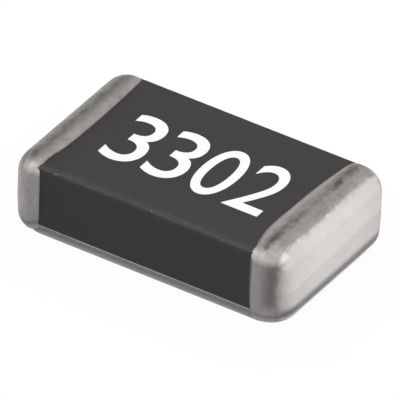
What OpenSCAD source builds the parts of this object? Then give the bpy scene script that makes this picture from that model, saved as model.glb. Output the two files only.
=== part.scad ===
// Rectangular surface-mount chip resistor with dipped end caps.
// Length runs along X, width along Y, height along Z. The solder lands lie on Z = 0.
// Every layer of the stack is its own node; all sizes are in millimetres.

/* [Overall size] */
// Length over both end caps
length = 2.00; // [1.70:0.05:2.40]
// Width over the end caps
width = 1.25; // [1.10:0.05:1.60]
// Height over the end caps
height = 0.55; // [0.48:0.01:0.70]

/* [End caps] */
// Radius of the cap's top and upright edges
cap_radius = 0.17; // [0.16:0.005:0.175]
// Radius of the cap's bottom edges, round the solder land
land_radius = 0.09; // [0.08:0.005:0.095]
// Tin wall on the flats
tin_wall = 0.008; // [0.006:0.001:0.009]
// Nickel wall on the flats
nickel_wall = 0.005; // [0.004:0.001:0.006]
// Left cap length along the middle of the top
left_band = 0.224; // [0.20:0.004:0.26]
// Right cap length along the middle of the top
right_band = 0.300; // [0.26:0.004:0.32]
// How far along the cap its open rim thins out onto the body
rim_run = 0.085; // [0.040:0.005:0.090]
// How deep the open rim thins out
rim_drop = 0.040; // [0.020:0.005:0.040]
// How far the left cap edge bows towards the body
left_bow = 0.020; // [0.010:0.005:0.040]
// How far the right cap edge bows towards the body
right_bow = 0.055; // [0.020:0.005:0.060]

/* [Ceramic substrate] */
// Metal beyond each end of the ceramic
end_wall = 0.115; // [0.115:0.005:0.140]
// Metal beside the coated body
side_wall = 0.054; // [0.054:0.002:0.070]
// Metal above the coated body
top_wall = 0.054; // [0.054:0.002:0.070]
// Metal below the ceramic
sub_lift = 0.028; // [0.028:0.001:0.036]

/* [Film and electrodes] */
// Thickness of the film and of each top electrode
film_thick = 0.012; // [0.008:0.001:0.012]
// Thickness of each bottom electrode
land_thick = 0.008; // [0.006:0.001:0.010]
// Electrode and film width
film_width = 0.86; // [0.70:0.02:0.92]
// Length of each top electrode
electrode_length = 0.40; // [0.34:0.02:0.46]
// Length of each bottom electrode
land_length = 0.065; // [0.040:0.005:0.070]
// How far the film laps onto each electrode
film_lap = 0.08; // [0.04:0.01:0.10]
// Width of the laser trim cut
kerf = 0.030; // [0.020:0.005:0.050]
// How far the trim cut runs in from the front edge
kerf_reach = 0.44; // [0.20:0.02:0.60]
// How far the trim cut then runs along the film
kerf_run = 0.30; // [0.10:0.02:0.40]

/* [Coats] */
// Glass above the film laps
glass_thick = 0.008; // [0.006:0.001:0.010]
// Glass margin round the film
glass_margin = 0.03; // [0.02:0.01:0.05]
// Black coat above the glass
coat_thick = 0.022; // [0.016:0.001:0.024]
// Black coat on the long sides
skirt_wall = 0.012; // [0.008:0.001:0.012]
// Bare ceramic left under the black coat
bare_strip = 0.040; // [0.020:0.004:0.100]
// Radius of the coat's long top edges
coat_radius = 0.020; // [0.020:0.001:0.026]
// How far the coat runs in under the caps
coat_tuck = 0.05; // [0.03:0.01:0.06]

/* [Hidden] */
// Facets of the full circle on round edges
round_fn = 24;
// Flats along a bowed cap edge
bow_steps = 12;
// Flats along a coat edge
edge_steps = 4;
// Overlap for clean cuts
eps = 0.01;
// Reach of cutting shapes past the part
far = 1;
// Edge radius lost per wall thickness, so walls thin at the edges as dipped metal does
edge_loss = 1.7;
// Share of each layer's inset that its rim drop gives up
rim_fade = 0.6;
// Flats along the rim's fall
rim_steps = 4;
plate_wall = tin_wall + nickel_wall;
coat_top = height - top_wall;
glass_top = coat_top - coat_thick;
lap_top = glass_top - glass_thick;
film_top = lap_top - film_thick;
sub_top = film_top - film_thick;
coat_width = width - 2 * side_wall;
sub_width = coat_width - 2 * skirt_wall;
sub_length = length - 2 * end_wall;
coat_low = sub_lift + bare_strip;
electrode_x = sub_length / 2 - electrode_length;
glass_x = electrode_x + film_lap + glass_margin;
glass_width = film_width + 2 * glass_margin;
coat_left = length / 2 - left_band + left_bow + coat_tuck;
coat_right = length / 2 - right_band + right_bow + coat_tuck;
coat_color = [0.20, 0.20, 0.21];
ceramic_color = [0.78, 0.77, 0.74];
tin_color = [0.72, 0.71, 0.69];
nickel_color = [0.62, 0.60, 0.56];
silver_color = [0.80, 0.80, 0.78];
film_color = [0.30, 0.26, 0.24];
glass_color = [0.40, 0.48, 0.44];

// Points of an arc, from angle a to angle b
function arc(cx, cy, r, a, b, n) = [
    for (i = [0 : n]) [cx + r * cos(a + (b - a) * i / n), cy + r * sin(a + (b - a) * i / n)]
];

// Points of a bowed cap edge: nearest the body at mid-width, falling back to both sides
function bow_line(x, bow, w, n) = [
    for (i = [0 : n]) [x + bow * pow(w / width * (2 * i / n - 1), 2), w * (i / n - 0.5)]
];

// Quarter of a disc in the first quadrant
module quarter_disc(r) {
    intersection() {
        circle(r = r, $fn = round_fn);
        square(r);
    }
}

// Box given by its low corner and high corner
module span(a, b) {
    translate(a)
        cube(b - a);
}

// Section of the block's rounded margin: a large round above, a small one below
module flank_profile(h, r, low_r) {
    translate([0, h - r])
        quarter_disc(r);
    translate([0, low_r])
        square([r, h - r - low_r]);
    translate([r - low_r, low_r])
        mirror([0, 1])
            quarter_disc(low_r);
    square([r - low_r, low_r]);
}

// Half block from X = 0 to X = l, resting at Z = low, round on every edge of its far end
module rounded_half(l, w, h, r, low_r, low) {
    x = l - r;
    y = w / 2 - r;
    translate([0, 0, low]) {
        span([0, -y, 0], [x, y, h]);
        translate([x, 0, 0])
            rotate([90, 0, 0])
                linear_extrude(2 * y, center = true)
                    flank_profile(h, r, low_r);
        for (s = [0, 1])
            mirror([0, s, 0]) {
                translate([0, y, 0])
                    rotate([90, 0, 90])
                        linear_extrude(x)
                            flank_profile(h, r, low_r);
                translate([x, y, 0])
                    rotate_extrude(angle = 90, $fn = round_fn)
                        flank_profile(h, r, low_r);
            }
    }
}

// Prism past the bowed band edge, used to shape the cap's open rim
module bow_prism(x, bow, w, low, high) {
    translate([0, 0, low])
        linear_extrude(high - low)
            polygon(concat(
                bow_line(x, bow, w, bow_steps),
                [[length / 2 + far, w / 2], [length / 2 + far, -w / 2]]
            ));
}

// Bowed band edge whose rim falls off in a curve on the top and sides, and stays flat on the solder land
module band_form(inset, band, bow) {
    x = length / 2 - band + inset;
    depth = rim_drop - rim_fade * inset;
    hull()
        for (i = [0 : rim_steps]) {
            t = i / rim_steps;
            fall = depth * pow(1 - t, 2);
            bow_prism(
                x + t * rim_run,
                bow,
                width - 2 * inset - 2 * fall,
                inset,
                height - inset - fall
            );
        }
}

// Space that one cap layer fills: its rounded block, cut to the bowed band edge
module cap_space(inset, loss, band, bow) {
    intersection() {
        rounded_half(
            length / 2 - inset,
            width - 2 * inset,
            height - 2 * inset,
            cap_radius - loss,
            land_radius - loss,
            inset
        );
        band_form(inset, band, bow);
    }
}

module tin_space(band, bow) {
    cap_space(0, 0, band, bow);
}

module nickel_space(band, bow) {
    cap_space(tin_wall, edge_loss * tin_wall, band, bow);
}

module base_space(band, bow) {
    cap_space(plate_wall, edge_loss * plate_wall, band, bow);
}

// Turns a right-hand piece into the left-hand one
module to_left() {
    rotate([0, 0, 180])
        children();
}

// Ceramic with a low step along each long side, on which the black coat ends
module ceramic_block() {
    x = sub_length / 2;
    span([-x, -sub_width / 2, sub_lift], [x, sub_width / 2, sub_top]);
    span([-x, -coat_width / 2, sub_lift], [x, coat_width / 2, coat_low]);
}

module top_electrode() {
    span([electrode_x, -film_width / 2, sub_top], [sub_length / 2, film_width / 2, film_top]);
}

module top_electrodes() {
    top_electrode();
    to_left()
        top_electrode();
}

module bottom_electrode() {
    span(
        [sub_length / 2 - land_length, -film_width / 2, sub_lift - land_thick],
        [sub_length / 2, film_width / 2, sub_lift]
    );
}

// Trim cut: in from the front edge, then along the film
module trim_cut() {
    x = kerf_run / 2;
    y = kerf_reach - film_width / 2;
    span([-x - kerf, -width, sub_top - eps], [-x, y, coat_top + eps]);
    span([-x - kerf, y - kerf, sub_top - eps], [x, y, coat_top + eps]);
}

// Film outline before the trim cut
module film_block() {
    lap_x = electrode_x + film_lap;
    y = film_width / 2;
    span([-electrode_x, -y, sub_top], [electrode_x, y, film_top]);
    span([electrode_x - film_lap, -y, film_top], [lap_x, y, lap_top]);
    span([-lap_x, -y, film_top], [film_lap - electrode_x, y, lap_top]);
}

// Glass outline before the trim cut
module glass_block() {
    y = glass_width / 2;
    span([-glass_x, -y, sub_top], [glass_x, y, glass_top]);
}

// Film with its trim cut
module film_solid() {
    difference() {
        film_block();
        trim_cut();
    }
}

// Glass over the film, open along the trim cut
module glass_solid() {
    difference() {
        glass_block();
        film_block();
        top_electrodes();
        trim_cut();
    }
}

// Coat outline with rounded long top edges
module coat_block() {
    y = coat_width / 2 - coat_radius;
    z = coat_top - coat_radius;
    rotate([90, 0, 90])
        translate([0, 0, -coat_left])
            linear_extrude(coat_left + coat_right)
                polygon(concat(
                    [[-coat_width / 2, coat_low], [coat_width / 2, coat_low]],
                    arc(y, z, coat_radius, 0, 90, edge_steps),
                    arc(-y, z, coat_radius, 90, 180, edge_steps)
                ));
}

// Body as the caps see it: ceramic, coat and electrodes in one
module body_stack() {
    ceramic_block();
    coat_block();
    top_electrodes();
    bottom_electrode();
    to_left()
        bottom_electrode();
}

module ceramic_substrate() {
    color(ceramic_color)
        ceramic_block();
}

module resistive_film() {
    color(film_color)
        film_solid();
}

module left_top_electrode() {
    color(silver_color)
        to_left()
            top_electrode();
}

module right_top_electrode() {
    color(silver_color)
        top_electrode();
}

module left_bottom_electrode() {
    color(silver_color)
        to_left()
            bottom_electrode();
}

module right_bottom_electrode() {
    color(silver_color)
        bottom_electrode();
}

module glass_coat() {
    color(glass_color)
        glass_solid();
}

module black_overcoat() {
    color(coat_color)
        difference() {
            coat_block();
            ceramic_block();
            top_electrodes();
            film_solid();
            glass_solid();
        }
}

module left_base_cap() {
    color(silver_color)
        difference() {
            to_left()
                base_space(left_band, left_bow);
            body_stack();
        }
}

module right_base_cap() {
    color(silver_color)
        difference() {
            base_space(right_band, right_bow);
            body_stack();
        }
}

module left_nickel_barrier() {
    color(nickel_color)
        difference() {
            to_left()
                nickel_space(left_band, left_bow);
            to_left()
                base_space(left_band, left_bow);
            body_stack();
        }
}

module right_nickel_barrier() {
    color(nickel_color)
        difference() {
            nickel_space(right_band, right_bow);
            base_space(right_band, right_bow);
            body_stack();
        }
}

module left_tin_cap() {
    color(tin_color)
        difference() {
            to_left()
                tin_space(left_band, left_bow);
            to_left()
                nickel_space(left_band, left_bow);
            body_stack();
        }
}

module right_tin_cap() {
    color(tin_color)
        difference() {
            tin_space(right_band, right_bow);
            nickel_space(right_band, right_bow);
            body_stack();
        }
}

ceramic_substrate();
resistive_film();
left_top_electrode();
right_top_electrode();
left_bottom_electrode();
right_bottom_electrode();
glass_coat();
black_overcoat();
left_base_cap();
right_base_cap();
left_nickel_barrier();
right_nickel_barrier();
left_tin_cap();
right_tin_cap();
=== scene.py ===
"""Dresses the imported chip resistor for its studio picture.

Meshes are shaped in millimetres and scaled to metres as the last step of each build, because the part is
only two millimetres long. X runs along the chip, Y across it and Z up from the solder lands. A cap is shaped
as the right-hand one, in its own cap frame, and the left-hand one is turned round at the end.
"""

from __future__ import annotations

import logging
import math
from dataclasses import dataclass
from enum import Enum
from typing import Callable, Iterable, Sequence, Union

import bmesh
import bpy
from mathutils import Matrix, Vector, noise

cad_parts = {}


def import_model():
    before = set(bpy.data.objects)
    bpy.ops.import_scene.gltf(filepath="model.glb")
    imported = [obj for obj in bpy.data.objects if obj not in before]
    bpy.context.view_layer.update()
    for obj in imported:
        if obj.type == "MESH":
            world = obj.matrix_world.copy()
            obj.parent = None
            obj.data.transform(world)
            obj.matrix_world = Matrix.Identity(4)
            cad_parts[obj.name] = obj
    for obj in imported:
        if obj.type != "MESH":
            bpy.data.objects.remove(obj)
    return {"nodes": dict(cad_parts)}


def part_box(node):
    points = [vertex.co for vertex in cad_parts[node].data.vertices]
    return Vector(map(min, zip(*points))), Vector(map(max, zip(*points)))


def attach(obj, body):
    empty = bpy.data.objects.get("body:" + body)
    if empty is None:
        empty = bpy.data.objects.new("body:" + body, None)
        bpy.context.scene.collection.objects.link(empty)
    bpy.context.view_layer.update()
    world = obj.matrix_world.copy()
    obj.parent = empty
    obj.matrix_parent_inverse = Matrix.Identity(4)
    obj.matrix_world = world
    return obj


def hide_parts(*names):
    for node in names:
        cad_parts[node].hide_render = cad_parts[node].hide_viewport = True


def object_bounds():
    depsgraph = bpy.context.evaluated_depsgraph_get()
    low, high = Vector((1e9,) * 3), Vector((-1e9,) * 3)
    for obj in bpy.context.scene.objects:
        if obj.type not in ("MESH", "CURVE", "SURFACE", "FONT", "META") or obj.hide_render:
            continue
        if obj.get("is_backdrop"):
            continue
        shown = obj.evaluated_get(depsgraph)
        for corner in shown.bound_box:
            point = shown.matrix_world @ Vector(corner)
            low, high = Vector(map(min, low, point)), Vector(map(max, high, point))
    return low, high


LOG = logging.getLogger("chip_resistor")

MILLI = 0.001
BODY = "root"
TINY = 1e-5

# Most of a noise pattern's values lie in these stretches, narrow and wide
SPREAD = (0.3, 0.7)
WIDE_SPREAD = (0.25, 0.75)

# How far a cap's skin runs past its CAD rim, and how much fuller the coat's skin is than its node
RIM_OVERLAP = 0.003
COAT_SWELL = (0.0, 0.006, 0.003)

Colour = tuple[float, float, float]
Point = tuple[float, float, float]
Range = tuple[float, float]
Stops = tuple[tuple[float, float], ...]
Tints = tuple[tuple[float, Colour], ...]
Socket = bpy.types.NodeSocket
Value = Union[Socket, float]


class Side(Enum):
    """Which end of the chip a cap sits on."""

    LEFT = "left"
    RIGHT = "right"


class Axis(Enum):
    """A row axis, by the index of its coordinate."""

    X = 0
    Y = 1
    Z = 2


# Mesh helpers


def box_mesh(low: Sequence[float], high: Sequence[float]) -> bmesh.types.BMesh:
    """Starts a mesh from one box.

    Args:
        low: Lowest corner in millimetres.
        high: Highest corner in millimetres.

    Returns:
        A new mesh holding the box.
    """
    bm = bmesh.new()
    bmesh.ops.create_cube(bm, size=1.0)
    size = [h - l for l, h in zip(low, high)]
    middle = [(h + l) / 2 for l, h in zip(low, high)]
    bmesh.ops.scale(bm, vec=size, verts=bm.verts)
    bmesh.ops.translate(bm, vec=middle, verts=bm.verts)
    return bm


def edges_where(bm: bmesh.types.BMesh, test: Callable[[Vector], bool]) -> list[bmesh.types.BMEdge]:
    """Finds the edges whose two ends both pass a test."""
    return [e for e in bm.edges if all(test(v.co) for v in e.verts)]


def round_edges(
    bm: bmesh.types.BMesh, edges: Iterable[bmesh.types.BMEdge], radius: float, steps: int
) -> None:
    """Rounds edges off.

    Args:
        bm: Mesh to change.
        edges: Edges to round.
        radius: Radius in millimetres.
        steps: Flats across the round.
    """
    bmesh.ops.bevel(
        bm,
        geom=list(edges),
        offset=radius,
        offset_type="OFFSET",
        affect="EDGES",
        segments=steps,
        profile=0.5,
        material=-1,
        clamp_overlap=False,
    )


def slice_up(bm: bmesh.types.BMesh, axis: Axis, low: float, high: float, count: int) -> None:
    """Cuts a mesh across into even slices, so that it can be eased into softer shapes.

    Args:
        bm: Mesh to change.
        axis: Axis that the cuts stand across.
        low: Start of the cut stretch in millimetres.
        high: End of the cut stretch in millimetres.
        count: Number of cuts.
    """
    if high - low < TINY:
        return
    normal = Vector((0.0, 0.0, 0.0))
    normal[axis.value] = 1.0
    for i in range(1, count + 1):
        spot = normal * (low + (high - low) * i / (count + 1))
        geom = list(bm.verts) + list(bm.edges) + list(bm.faces)
        bmesh.ops.bisect_plane(bm, geom=geom, dist=TINY, plane_co=spot, plane_no=normal)


def thicken(bm: bmesh.types.BMesh, depth: float) -> None:
    """Turns an open sheet into a thin closed shell by adding its inner side.

    Args:
        bm: Sheet whose faces point outwards, with one open edge all round.
        depth: Thickness in millimetres, added inwards.
    """
    bm.normal_update()
    copy = bmesh.ops.duplicate(bm, geom=list(bm.verts) + list(bm.edges) + list(bm.faces))["geom"]
    for vert in [g for g in copy if isinstance(g, bmesh.types.BMVert)]:
        vert.co -= vert.normal * depth
    bmesh.ops.reverse_faces(bm, faces=[g for g in copy if isinstance(g, bmesh.types.BMFace)])
    bmesh.ops.bridge_loops(bm, edges=[e for e in bm.edges if e.is_boundary])
    bmesh.ops.recalc_face_normals(bm, faces=bm.faces)


def smooth_between(x: float, start: float, end: float) -> float:
    """Runs softly from 0 at the start to 1 at the end, and holds there."""
    t = min(max((x - start) / (end - start), 0.0), 1.0)
    return t * t * (3.0 - 2.0 * t)


def in_mm(corners: Iterable[Vector]) -> list[Point]:
    """Turns corners in metres into plain points in millimetres."""
    return [tuple(c / MILLI for c in corner) for corner in corners]


def piece_from(bm: bmesh.types.BMesh, name: str) -> bpy.types.Object:
    """Turns a millimetre mesh into an object in metres that rides the chip.

    Args:
        bm: Finished mesh with its faces pointing outwards; it is freed here.
        name: Name of the piece.

    Returns:
        The object, linked to the scene.
    """
    bmesh.ops.scale(bm, vec=(MILLI, MILLI, MILLI), verts=bm.verts)
    mesh = bpy.data.meshes.new(name)
    bm.to_mesh(mesh)
    bm.free()
    piece = bpy.data.objects.new(name, mesh)
    bpy.context.scene.collection.objects.link(piece)
    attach(piece, BODY)
    return piece


def dress(piece: bpy.types.Object, material: bpy.types.Material) -> None:
    """Gives a piece or a CAD node one material all over.

    Args:
        piece: Piece to dress.
        material: Its new material.
    """
    piece.data.materials.clear()
    piece.data.materials.append(material)
    for polygon in piece.data.polygons:
        polygon.material_index = 0


# Finishes


@dataclass(frozen=True)
class Cloud:
    """A noise pattern: its units per millimetre on each axis, and the number and strength of finer layers."""

    scale: Point
    detail: float = 3.0
    rough: float = 0.55


class NodeSheet:
    """A material's node tree, with short calls for the nodes used here."""

    def __init__(self, name: str) -> None:
        """Starts a material with one Principled shader.

        Args:
            name: Name of the material.
        """
        self.material = bpy.data.materials.new(name)
        self.material.use_nodes = True
        self.tree = self.material.node_tree
        self.tree.nodes.clear()
        self.out = self.add("ShaderNodeOutputMaterial")
        self.shader = self.add("ShaderNodeBsdfPrincipled")
        self.link(self.shader.outputs["BSDF"], self.out.inputs["Surface"])
        self.coords = self.add("ShaderNodeTexCoord").outputs["Object"]

    def add(self, kind: str) -> bpy.types.Node:
        """Adds a node of a kind."""
        return self.tree.nodes.new(kind)

    def link(self, source: Socket, target: Socket) -> None:
        """Joins two sockets."""
        self.tree.links.new(source, target)

    def feed(self, value: Value, target: Socket) -> None:
        """Joins a socket to a target, or sets the target to a number.

        Args:
            value: Socket or number to use.
            target: Socket that takes it.
        """
        if isinstance(value, (int, float)):
            target.default_value = value
        else:
            self.link(value, target)

    def place(self, scale: Sequence[float]) -> Socket:
        """Stretches Object coordinates by a scale given per millimetre.

        Args:
            scale: Pattern units per millimetre on each axis.

        Returns:
            The mapped vector.
        """
        node = self.add("ShaderNodeMapping")
        node.inputs["Scale"].default_value = [s / MILLI for s in scale]
        self.link(self.coords, node.inputs["Vector"])
        return node.outputs["Vector"]

    def cloud(self, cloud: Cloud) -> Socket:
        """Makes a noise pattern.

        Args:
            cloud: Its sizes.

        Returns:
            The pattern, between 0 and 1.
        """
        node = self.add("ShaderNodeTexNoise")
        node.inputs["Scale"].default_value = 1.0
        node.inputs["Detail"].default_value = cloud.detail
        node.inputs["Roughness"].default_value = cloud.rough
        self.link(self.place(cloud.scale), node.inputs["Vector"])
        return node.outputs["Fac"]

    def ramp(self, value: Socket, stops: Tints) -> Socket:
        """Maps a value through colour stops.

        Args:
            value: Value to map.
            stops: Places and their colours, in rising order.

        Returns:
            The colour.
        """
        node = self.add("ShaderNodeValToRGB")
        elements = node.color_ramp.elements
        while len(elements) < len(stops):
            elements.new(0.5)
        for element, (spot, colour) in zip(elements, stops):
            element.position = spot
            element.color = (*colour, 1.0)
        self.link(value, node.inputs["Fac"])
        return node.outputs["Color"]

    def grey_ramp(self, value: Socket, stops: Stops) -> Socket:
        """Maps a value through stops of grey."""
        return self.ramp(value, tuple((spot, (tone, tone, tone)) for spot, tone in stops))

    def span(self, value: Socket, low: float, high: float, first: float = 0.0, last: float = 1.0) -> Socket:
        """Maps a value softly from one range to another, and holds it there.

        Args:
            value: Value to map.
            low: Start of the range that it comes from.
            high: End of the range that it comes from.
            first: Result at the start.
            last: Result at the end.

        Returns:
            The mapped value.
        """
        node = self.add("ShaderNodeMapRange")
        node.interpolation_type = "SMOOTHSTEP"
        node.clamp = True
        for key, number in zip(("From Min", "From Max", "To Min", "To Max"), (low, high, first, last)):
            node.inputs[key].default_value = number
        self.link(value, node.inputs["Value"])
        return node.outputs["Result"]

    def math(self, kind: str, a: Value, b: Value = 0.0) -> Socket:
        """Works out one sum.

        Args:
            kind: Kind of sum, by its name in Blender.
            a: First value.
            b: Second value, where the sum takes one.

        Returns:
            The result.
        """
        node = self.add("ShaderNodeMath")
        node.operation = kind
        self.feed(a, node.inputs[0])
        self.feed(b, node.inputs[1])
        return node.outputs["Value"]

    def times(self, a: Value, b: Value) -> Socket:
        """Multiplies two values."""
        return self.math("MULTIPLY", a, b)

    def plus(self, a: Value, b: Value) -> Socket:
        """Adds two values."""
        return self.math("ADD", a, b)

    def most(self, *values: Socket) -> Socket:
        """Picks the largest of some values.

        Args:
            values: Values to compare.

        Returns:
            The largest one.
        """
        best = values[0]
        for value in values[1:]:
            best = self.math("MAXIMUM", best, value)
        return best

    def size_of(self, axis: Axis) -> Socket:
        """How far the surface point is from the middle on one axis, in millimetres."""
        return self.math("ABSOLUTE", self.mm(axis))

    def wobble(self, value: Socket, pattern: Socket, amount: float) -> Socket:
        """Shifts a value up and down by a pattern whose middle is a half."""
        return self.plus(value, self.times(self.math("SUBTRACT", pattern, 0.5), amount))

    def hump(self, value: Socket, middle: float, reach: float) -> Socket:
        """Gives 1 where a value is at the middle, falling softly to 0 at the reach."""
        away = self.math("ABSOLUTE", self.math("SUBTRACT", value, middle))
        return self.span(away, 0.0, reach, 1.0, 0.0)

    def darken(self, tone: Socket, share: Socket) -> Socket:
        """Takes a share of a tone away."""
        return self.times(tone, self.math("SUBTRACT", 1.0, share))

    def mix(self, amount: Socket, a: Socket | Colour, b: Socket | Colour) -> Socket:
        """Blends two colours.

        Args:
            amount: Share of the second colour.
            a: First colour.
            b: Second colour.

        Returns:
            The blended colour.
        """
        node = self.add("ShaderNodeMix")
        node.data_type = "RGBA"
        self.link(amount, node.inputs["Factor"])
        for key, colour in (("A", a), ("B", b)):
            socket = next(s for s in node.inputs if s.name == key and s.type == "RGBA")
            if isinstance(colour, tuple):
                socket.default_value = (*colour, 1.0)
            else:
                self.link(colour, socket)
        return next(s for s in node.outputs if s.type == "RGBA")

    def blend(self, amount: Socket, a: Value, b: Value) -> Socket:
        """Blends two numbers.

        Args:
            amount: Share of the second number.
            a: First number.
            b: Second number.

        Returns:
            The blended number.
        """
        node = self.add("ShaderNodeMix")
        self.link(amount, node.inputs["Factor"])
        self.feed(a, node.inputs["A"])
        self.feed(b, node.inputs["B"])
        return node.outputs["Result"]

    def shade(self, colour: Socket, amount: Socket) -> Socket:
        """Makes a colour lighter or darker.

        Args:
            colour: Colour to change.
            amount: Factor, where 1 leaves it as it is.

        Returns:
            The new colour.
        """
        node = self.add("ShaderNodeVectorMath")
        node.operation = "SCALE"
        self.link(colour, node.inputs[0])
        self.link(amount, node.inputs["Scale"])
        return node.outputs["Vector"]

    def mm(self, axis: Axis) -> Socket:
        """Reads one coordinate of the surface point.

        Args:
            axis: Axis to read.

        Returns:
            The coordinate in millimetres.
        """
        node = self.add("ShaderNodeSeparateXYZ")
        self.link(self.coords, node.inputs["Vector"])
        return self.times(node.outputs[axis.value], 1.0 / MILLI)

    def mark(self, name: str) -> Socket:
        """Reads a value stored on the points of the mesh.

        Args:
            name: Name of the mark.

        Returns:
            The value.
        """
        node = self.add("ShaderNodeAttribute")
        node.attribute_name = name
        return node.outputs["Fac"]

    def paint(self, colour: Socket) -> None:
        """Sets the colour of the surface."""
        self.link(colour, self.shader.inputs["Base Color"])

    def polish(self, pattern: Socket, roughness: Range) -> None:
        """Sets the roughness of the surface, which follows a pattern from one value to another."""
        self.link(self.span(pattern, *SPREAD, *roughness), self.shader.inputs["Roughness"])

    def bump(self, height: Socket, depth: float) -> None:
        """Roughens the surface by a height map.

        Args:
            height: Height map.
            depth: Depth of its full range in millimetres.
        """
        node = self.add("ShaderNodeBump")
        node.inputs["Strength"].default_value = 1.0
        node.inputs["Distance"].default_value = depth * MILLI
        self.link(height, node.inputs["Height"])
        self.link(node.outputs["Normal"], self.shader.inputs["Normal"])


@dataclass(frozen=True)
class FootLine:
    """The dark line of painted shade just above a cap's sole: where it starts, where it is full, and how dark
    it is.
    """

    start_z: float
    full_z: float
    dark: float

    def share(self, sheet: NodeSheet, height: Socket) -> Socket:
        """Works out the share of the tone that the line takes away."""
        return sheet.span(height, self.start_z, self.full_z, 0.0, self.dark)


@dataclass(frozen=True)
class Mottle:
    """A pattern in the tin, and how much it varies the tone on dull and on bright faces."""

    cloud: Cloud
    dull: float
    bright: float

    def vary(self, sheet: NodeSheet, tone: Socket, pattern: Socket, calm: Socket) -> Socket:
        """Varies a tone by the pattern.

        Args:
            sheet: Node tree to add to.
            tone: Tone to vary.
            pattern: The pattern.
            calm: 0 on dull faces, 1 on bright ones.

        Returns:
            The varied tone.
        """
        share = sheet.blend(calm, self.dull, self.bright)
        shift = sheet.times(sheet.span(pattern, *WIDE_SPREAD, -0.5, 0.5), share)
        return sheet.times(tone, sheet.plus(1.0, shift))


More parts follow.
